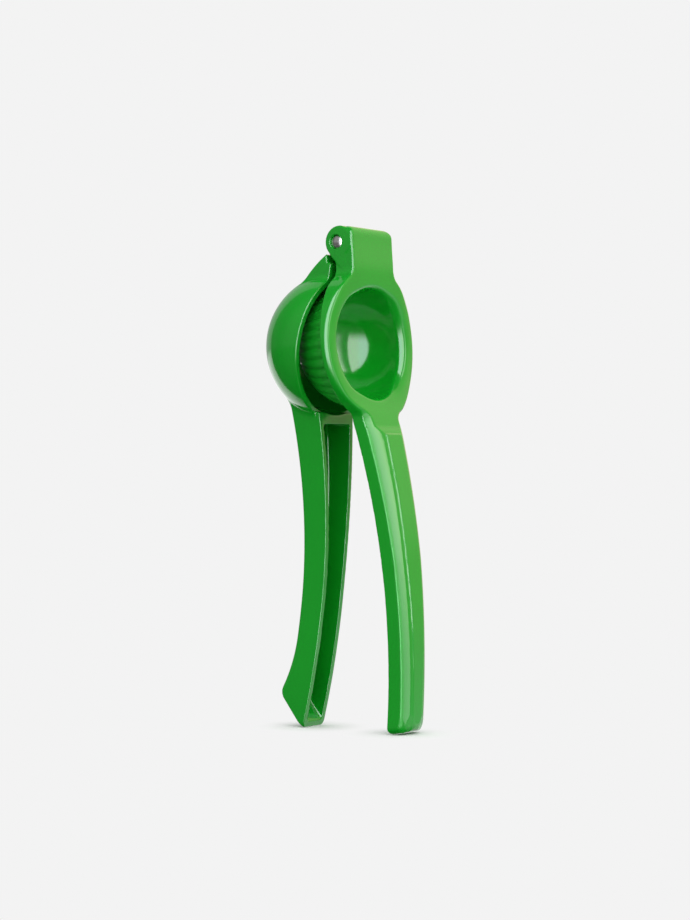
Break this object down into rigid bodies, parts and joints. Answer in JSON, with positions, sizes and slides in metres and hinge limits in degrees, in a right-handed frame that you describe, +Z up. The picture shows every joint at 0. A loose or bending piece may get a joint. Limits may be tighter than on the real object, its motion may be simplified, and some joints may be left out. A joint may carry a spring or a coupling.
{
  "type": "hinged lemon squeezer",
  "caption": "Hand-held citrus press of enamelled metal: a fluted dome on one lever squeezes half a fruit into the perforated cup on the other; it stands on its spread handles.",
  "frame": {"origin": "on the ground under the middle of the object's box, as it stands on its two handle ends", "axes": "+Z up; +X from the juice cup towards the press cup's open dish; +Y along the hinge pin"},
  "size_m": [0.0712, 0.065, 0.2113],
  "materials": {
    "green_enamel": "gloss baked enamel over cast aluminium",
    "pin_steel": "plain stainless steel"
  },
  "bodies": {
    "press": {"press_lever": "green_enamel", "hinge_pin": "pin_steel"},
    "cup": {"cup_lever": "green_enamel"}
  },
  "joints": [
    {"name": "hinge", "type": "hinge", "parent": "press", "child": "cup", "pos_m": [0.00398, 0, 0.20462], "axis": [0, 1, 0], "range_deg": [-11.8, 117]}
  ]
}
